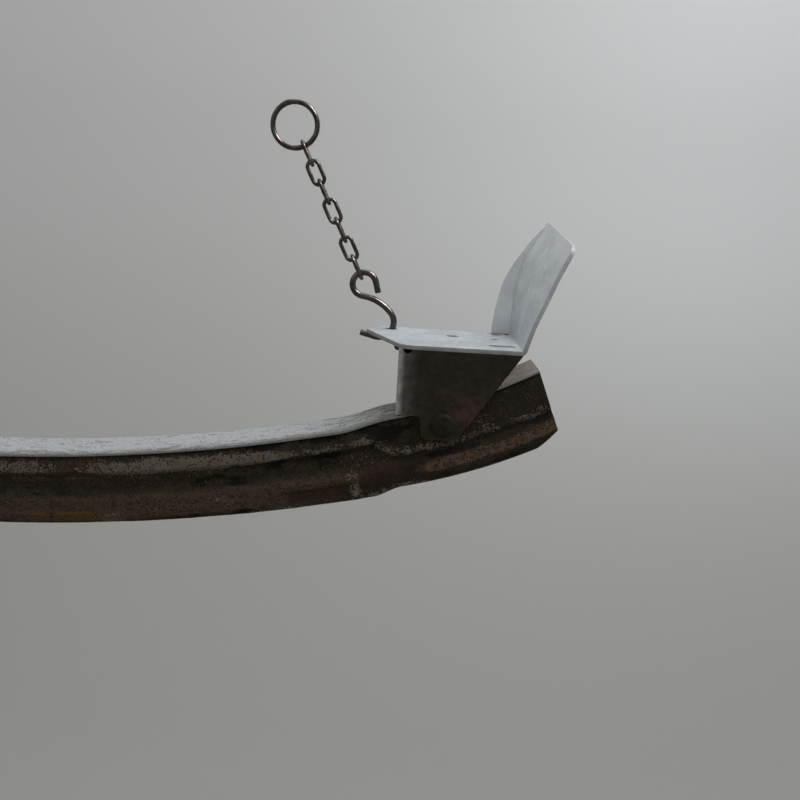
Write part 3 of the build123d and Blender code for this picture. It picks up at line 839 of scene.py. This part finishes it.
def build_flange(side, sign):
    """Return flange on the upright's far side: from the bend to its free edge, level by level."""
    levels, columns = 80, 16
    free = rounded(FLANGE_EDGE, (60, 60, 60, 40), (6, 4, 4, 4, 6), 8)
    fold = upright_path(1.0, 400.0)[FOLD_COLUMN:]
    outer, inner, edge = [], [], []
    for z in np.linspace(0.3, 86.0, levels):
        fold_x = np.interp(z, fold[:, 1], fold[:, 0]) - 0.4
        free_x = min(np.interp(z, free[:, 1], free[:, 0]), fold_x - PLATE_SHEET)
        xs = np.linspace(fold_x, free_x, columns)
        for line, y in ((outer, UPRIGHT_FAR_Y - 0.15), (inner, UPRIGHT_FAR_Y - PLATE_SHEET)):
            line.append(np.column_stack((xs, np.full(columns, y), np.full(columns, z))))
        edge.append(0.6 * (1 - smooth(xs - free_x, 0.3, 2.0)))
    outer, inner, edge = np.concatenate(outer), np.concatenate(inner), np.concatenate(edge)
    for line in (outer, inner):
        line[:, 0] *= sign
    none = np.zeros(2 * len(outer))
    # the return flange is pale all over: partly primer, partly painted highlight
    tones = {"edge": np.concatenate((edge, edge)), "rust": none, "under": none, "pale": none + 0.95}
    flange = sheet_object(side + "_upright_flange", outer, inner, grid_quads(levels, columns), tones)
    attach(flange, "beam")
    paint(flange, "plate_paint")


def box_path():
    """The box's outer line seen from above, from the near wall's bend start to the far wall's."""
    wall_x = BOX_INNER_X + 20
    corners = ((wall_x, NEAR_Y), (BOX_INNER_X, NEAR_Y), (BOX_INNER_X, BOX_FAR_Y), (wall_x, BOX_FAR_Y))
    line = rounded(corners, (BOX_BEND, BOX_BEND), (1, 24, 1), 10)
    return line[1:-1]


def seat_z(x):
    """Height of the beam's rear face at x."""
    return END_CENTRE_Z - sqrt((END_RADIUS - BEAM_DEPTH - SEAT_GAP) ** 2 - (x - END_CENTRE_X) ** 2)


def build_box(side, sign):
    """The folded box: near wall with its tab, bend, inner wall, bend, far wall with its tab."""
    wall_columns = 46
    tab = (
        (TAB_END_X, BOX_FLOOR_Z), (TAB_START_X + 2, BOX_FLOOR_Z),
        (TAB_START_X, SHOULDER_Z), (BOX_INNER_X + BOX_BEND, SHOULDER_Z),
    )
    slant = np.array(tab[0]) + (np.array((BOX_END_X, -PLATE_SHEET)) - tab[0]) * 0.12
    lower = rounded((slant, *tab), (5.0, 4.0, 3.0), (6, 12, 8, 7), 6)
    spacing = np.concatenate(([0], np.cumsum(np.hypot(*np.diff(lower, axis=0).T))))
    where = np.linspace(0, spacing[-1], wall_columns)
    lower = np.column_stack([np.interp(where, spacing, lower[:, k]) for k in (0, 1)])
    upper_x = np.linspace(BOX_END_X, BOX_INNER_X + BOX_BEND, wall_columns)
    near_wall = [(ux, NEAR_Y, lx, lz) for ux, (lx, lz) in zip(upper_x, lower)]
    turn = box_path()
    middle = []
    for x, y in turn:
        inside = min(abs(y - NEAR_Y), abs(y - BOX_FAR_Y))
        bottom = SHOULDER_Z + (seat_z(BOX_INNER_X) - SHOULDER_Z) * float(smooth(inside, 2.2, 3.4))
        middle.append((x, y, x, bottom))
    far_wall = [(ux, BOX_FAR_Y, lx, lz) for ux, _, lx, lz in reversed(near_wall)]
    columns = near_wall + middle[1:-1] + far_wall
    plan = np.array([(c[0], c[1]) for c in columns])
    face = np.zeros_like(plan)
    face[:wall_columns] = (0, -1)
    face[-wall_columns:] = (0, 1)
    for k in range(wall_columns, len(columns) - wall_columns):
        along = plan[k + 1] - plan[k - 1]
        face[k] = np.array((along[1], -along[0])) / np.linalg.norm(along)
    face[wall_columns:-wall_columns] *= -1 if face[wall_columns][0] > 0 else 1
    down = np.linspace(0, 1, 44) ** 0.9
    outer, inner, bend, red, edge = [], [], [], [], []
    for (upper, y, lower_x, lower_z), (nx, ny) in zip(columns, face):
        x = upper + (lower_x - upper) * down
        z = -PLATE_SHEET + (lower_z + PLATE_SHEET) * down
        outer.append(np.column_stack((x, np.full(len(x), y), z)))
        inner.append(outer[-1] - np.array((nx, ny, 0)) * BOX_SHEET)
        # painted highlight on the bend's rounding, with a faint wider one beside it
        rub_wear_and_highlight = 0.9 * (1 - smooth(x, BOX_INNER_X + 0.8, BOX_INNER_X + 5.5))
        bend.append(rub_wear_and_highlight + 0.16 * (1 - smooth(x, BOX_INNER_X + 4, BOX_INNER_X + 17)))
        red.append(0.75 * np.exp(-(np.hypot(x - 391, z + 48) / 13.0) ** 2))
        edge.append(0.6 * smooth(down, 0.965, 1.0))
    outer, inner = np.concatenate(outer), np.concatenate(inner)
    for line in (outer, inner):
        line[:, 0] *= sign
    bend = np.concatenate(bend)
    tones = {
        "bend": np.concatenate((bend, np.zeros(len(bend)))),
        "red": np.concatenate(red + red),
        "edge": np.concatenate(edge + edge),
    }
    box = sheet_object(side + "_box_pressing", outer, inner, grid_quads(len(columns), len(down)), tones)
    reliefs = [relief_cutter(sign * (BOX_INNER_X + BOX_BEND), y) for y in (NEAR_Y, BOX_FAR_Y)]
    cut_holes(box, reliefs)
    stand_for(box, "beam", "box_paint", side + "_bracket_box")


def relief_cutter(x, y, diameter=6.0):
    """A short bar along Y for the relief notch at the top of a bend."""
    around = 32
    points = [
        (x + diameter / 2 * cos(a), y + reach, -PLATE_SHEET + diameter / 2 * sin(a))
        for reach in (-BOX_BEND, BOX_BEND) for a in ring_angles(around)
    ]
    return mesh_object("cutter", points, capped_faces(2, around))


def weld_bead(start, finish, out_one, out_two, leg, seed):
    """Points and faces of a rippled fillet bead between two directions."""
    start, finish = np.array(start), np.array(finish)
    length = np.linalg.norm(finish - start)
    rows, around = int(length / 0.35), 12
    out_one, out_two = np.array(out_one, dtype=float), np.array(out_two, dtype=float)
    points = []
    for row in range(rows + 1):
        share = row / rows
        along = share * length
        ripple = 1 + 0.10 * (abs((along / 1.5) % 1 - 0.5) * 2) ** 2 + 0.05 * sin(along * 0.9 + seed)
        fade = min(1.0, sqrt(max(0.02, min(along, length - along) / 2.0)))
        size = leg * ripple * fade
        base = start + (finish - start) * share
        points.append(base)
        for k in range(around):
            angle = pi / 2 * k / (around - 1)
            bulge = 0.80 + 0.12 * sin(2 * angle)
            points.append(base + (out_one * cos(angle) + out_two * sin(angle)) * size * bulge)
    return points, capped_faces(rows + 1, around + 1)


def build_welds(side, sign):
    """Both beads of a bracket, in one object."""
    gap = 0.05
    inner_x, far_y, z = BOX_INNER_X - gap, BOX_FAR_Y + gap, -PLATE_SHEET - gap
    runs = (
        ((inner_x, NEAR_Y + 2 * BOX_BEND, z), (inner_x, BOX_FAR_Y - 2 * BOX_BEND, z), (-1, 0, 0)),
        ((BOX_INNER_X + 2 * BOX_BEND, far_y, z), (BOX_END_X - 4, far_y, z), (0, 1, 0)),
    )
    points, faces = [], []
    for number, (start, finish, outward) in enumerate(runs):
        more, quads = weld_bead(start, finish, outward, (0, 0, -1), WELD_LEG, number + sign)
        faces += [[corner + len(points) for corner in face] for face in quads]
        points += more
    points = np.array(points)
    points[:, 0] *= sign
    welds = mesh_object(side + "_weld_beads", points, faces, 50)
    stand_for(welds, "beam", "weld_steel", side + "_bracket_welds")


def thread(along, angle):
    """Height of the thread's flank at a point, 0 at the bottom to 0.5 at the top."""
    return abs(((along / THREAD_PITCH + angle / (2 * pi)) % 1) - 0.5)


def round_bolt(sign, y, radius, angle):
    """A point round the bolt's axis."""
    return sign * (BOLT_X + radius * cos(angle)), y, BOLT_Z + radius * sin(angle)


def build_nut(side, sign):
    """A hexagon nut with both faces chamfered and a threaded bore."""
    around, bore_steps = 96, 30
    corner = NUT_WIDTH / 2 / cos(pi / 6)
    chamfer = ((0.0, corner - 0.85), (0.25, corner - 0.4), (0.9, corner))
    profile = [(z, limit, True) for z, limit in chamfer]
    profile += [(NUT_HEIGHT - z, limit, True) for z, limit in reversed(chamfer)]
    for k in range(bore_steps + 1):
        profile.append((NUT_HEIGHT * (1 - k / bore_steps), BOLT_D / 2 + 0.12, False))
    points = []
    for z, limit, outside in profile:
        for k in range(around):
            angle = 2 * pi * k / around
            if outside:
                turned = (angle + pi / 6) % (pi / 3) - pi / 6
                radius = min(limit, NUT_WIDTH / 2 / cos(turned))
            else:
                radius = limit + 0.22 * thread(z, angle)
            points.append(round_bolt(sign, BOX_FAR_Y + z, radius, angle))
    faces = grid_quads(len(profile), around, wrap_rows=True, wrap_columns=True)
    nut = mesh_object(side + "_hex_nut", points, faces, 30)
    stand_for(nut, "beam", "bolt_steel", side + "_bracket_nut")


def build_bolt(side, sign):
    """Round-headed bolt: low domed head with a shallow rim, plain shank, threaded end."""
    around, thread_step, root, tip = 64, 0.2, 3.42, 0.02
    low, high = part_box(side + "_bracket_bolt")
    head_y, end_y = low[1] / MM, high[1] / MM
    dome = ((0, tip), (0.12, 3.0), (0.45, 5.5), (0.55, 6.6), (0.95, 7.8), (1.7, 8.6), (2.6, 8.95))
    thread_start = BOX_FAR_Y - 4.0
    profile = [(head_y + y, radius) for y, radius in dome] + [(NEAR_Y - 0.15, 9.0), (NEAR_Y - 0.02, 8.8)]
    profile += [(NEAR_Y, BOLT_D / 2), (thread_start, BOLT_D / 2)]
    profile += [(y, None) for y in np.arange(thread_start + thread_step, end_y - 0.8, thread_step)]
    profile += [(end_y - 0.6, 3.55), (end_y, 3.0), (end_y, tip)]
    points = []
    for y, plain in profile:
        for k in range(around):
            angle = 2 * pi * k / around
            radius = root + 1.1 * thread(y, angle) if plain is None else plain
            points.append(round_bolt(sign, y, radius, angle))
    bolt = mesh_object(side + "_round_bolt", points, capped_faces(len(profile), around), 40)
    stand_for(bolt, "beam", "bolt_steel", side + "_bracket_bolt")


# ---- chain ----
def loop_object(name, centre, along, normal, leg, bend_radius, wire, weld):
    """A closed loop of wire, two half circles and two legs, or a ring without legs, with a weld's bulge
    at weld, a place given along and across the loop."""
    if leg > 0:
        bend = np.linspace(-pi / 2, pi / 2, 25)
        legs = np.linspace(-leg / 2, leg / 2, 21)[1:-1]
        flat = [(leg / 2 + bend_radius * cos(a), bend_radius * sin(a), cos(a), sin(a)) for a in bend]
        flat += [(t, bend_radius, 0, 1) for t in legs[::-1]]
        flat += [(-leg / 2 + bend_radius * cos(a), bend_radius * sin(a), cos(a), sin(a)) for a in bend + pi]
        flat += [(t, -bend_radius, 0, -1) for t in legs]
    else:
        ring = 2 * pi * np.arange(72) / 72
        flat = [(bend_radius * cos(a), bend_radius * sin(a), cos(a), sin(a)) for a in ring]
    sideward = np.cross(normal, along)
    path = np.array([centre + along * u + sideward * v for u, v, _, _ in flat])
    out = np.array([along * u + sideward * v for _, _, u, v in flat])
    upright = np.repeat(normal[None, :], len(flat), axis=0)
    far = np.array([hypot(u - weld[0], v - weld[1]) for u, v, _, _ in flat])
    bulge = 0.085 * np.exp(-(far / (wire * 0.55)) ** 2)
    rim = 0.035 * np.exp(-((far - wire * 0.75) / (wire * 0.2)) ** 2)
    return tube_object(name, path, out, upright, wire / 2 * (1 + bulge + rim))


def middle_of(node):
    low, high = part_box(node)
    return (np.array(low) + np.array(high)) / 2 / MM


def build_chain(side, sign):
    """Seven links and the end ring, each on its own body."""
    along = np.array((-sign * sin(CHAIN_LEAN), 0, cos(CHAIN_LEAN)))
    across_beam = np.array((0.0, 1.0, 0.0))
    edge_on = np.array((cos(CHAIN_LEAN), 0, sign * sin(CHAIN_LEAN)))
    bend_radius = (LINK_WIDTH - LINK_WIRE) / 2
    leg = LINK_PITCH + LINK_WIRE - 2 * bend_radius
    for number in range(1, LINK_COUNT + 1):
        node = f"{side}_chain_link_{number}"
        normal = edge_on if number % 2 else across_beam
        link = loop_object(f"{side}_link_{number}_forged", middle_of(node), along, normal, leg, bend_radius,
                           LINK_WIRE, (0.0, bend_radius if number % 3 else -bend_radius))
        stand_for(link, f"{side}_link_{number}", "chain_steel", node)
    ring_radius = (RING_INNER_D + RING_WIRE) / 2
    normal = edge_on if (LINK_COUNT + 1) % 2 else across_beam
    centre, weld = middle_of(side + "_chain_ring"), (ring_radius, 0.0)
    ring = loop_object(side + "_ring_forged", centre, along, normal, 0, ring_radius, RING_WIRE, weld)
    stand_for(ring, side + "_ring", "chain_steel", side + "_chain_ring")


# ---- stage ----
def build_stage():
    """A pale floor sweeping up into a wall well behind the beam, soft overhead light, even surround."""
    reach, floor_z, wall_y, wall_top, sweep_radius = 40000, -1100, 2600, 9000, 1500
    corners = ((-reach, floor_z), (wall_y, floor_z), (wall_y, wall_top))
    line = rounded(corners, (sweep_radius,), (4, 4), 24)
    points = [(x, y, z) for x in (-reach, reach) for y, z in line]
    sweep = mesh_object("backdrop", points, grid_quads(2, len(line)).tolist(), 60)
    sweep.data.materials.append(backdrop_material())

    world = bpy.data.worlds.new("surround")
    bpy.context.scene.world = world
    world.use_nodes = True
    tree = world.node_tree
    sky = tree.nodes["Background"]
    place = tree.nodes.new("ShaderNodeTexCoord")
    split = tree.nodes.new("ShaderNodeSeparateXYZ")
    ramp = tree.nodes.new("ShaderNodeValToRGB")
    tree.links.new(place.outputs["Generated"], split.inputs[0])
    tree.links.new(split.outputs["Z"], ramp.inputs[0])
    tree.links.new(ramp.outputs[0], sky.inputs["Color"])
    surround = ((0.0, (0.335, 0.338, 0.333)), (0.5, (0.50, 0.52, 0.535)))
    for stop, (position, colour) in zip(ramp.color_ramp.elements, surround):
        stop.position = position
        stop.color = (*colour, 1)
    sky.inputs["Strength"].default_value = 1.0

    for name, place, size, power, aim in (
        ("overhead", (0.45, 0.55, 1.9), 1.5, 19.0, (0.2, 0.1, 0.0)),
        ("fill", (-1.6, -1.2, 1.3), 1.6, 3.0, (0.2, 0.0, 0.0)),
        ("glow", (1.6, 1.3, 1.6), 0.8, 6.0, (1.2, 2.6, 1.2)),
        ("strip", (1.5, -0.5, 0.9), 0.30, 2.0, (0.35, 0.0, 0.15)),
        ("sheen", (1.5, -0.4, 1.6), 1.0, 60.0, (0.35, 0.0, 0.15)),
    ):
        light = bpy.data.lights.new(name, "AREA")
        light.shape = "DISK"
        light.size = size
        light.energy = power
        lamp = bpy.data.objects.new(name, light)
        lamp.location = place
        lamp.visible_diffuse = name != "sheen"
        lamp.rotation_euler = (Vector(aim) - Vector(place)).to_track_quat("-Z", "Y").to_euler()
        bpy.context.collection.objects.link(lamp)


def build_camera():
    """In front of the right-hand bracket, a little above it, pitched down and slightly tilted."""
    place, pitch, roll = (0.3419, -0.6781, 0.0982), radians(90 - 12.6), radians(3.3)
    camera = bpy.data.cameras.new("camera")
    camera.lens = 39.6
    camera.sensor_width = 36.0
    camera.clip_start = 0.01
    holder = bpy.data.objects.new("camera", camera)
    bpy.context.collection.objects.link(holder)
    holder.matrix_world = (
        Matrix.Translation(place)
        @ Euler((pitch, 0, 0)).to_matrix().to_4x4()
        @ Matrix.Rotation(roll, 4, "Z")
    )
    bpy.context.scene.camera = holder


bpy.context.scene.view_settings.view_transform = "Standard"
build_camera()
build_stage()
build_channel()
build_rear_sheet()
for side, sign in SIDES:
    build_plate(side, sign)
    build_box(side, sign)
    build_welds(side, sign)
    build_nut(side, sign)
    build_bolt(side, sign)
    build_chain(side, sign)
    paint_carried(side + "_s_hook", "hook_steel")
    paint_carried(side + "_bolt_spacer", "bolt_steel")
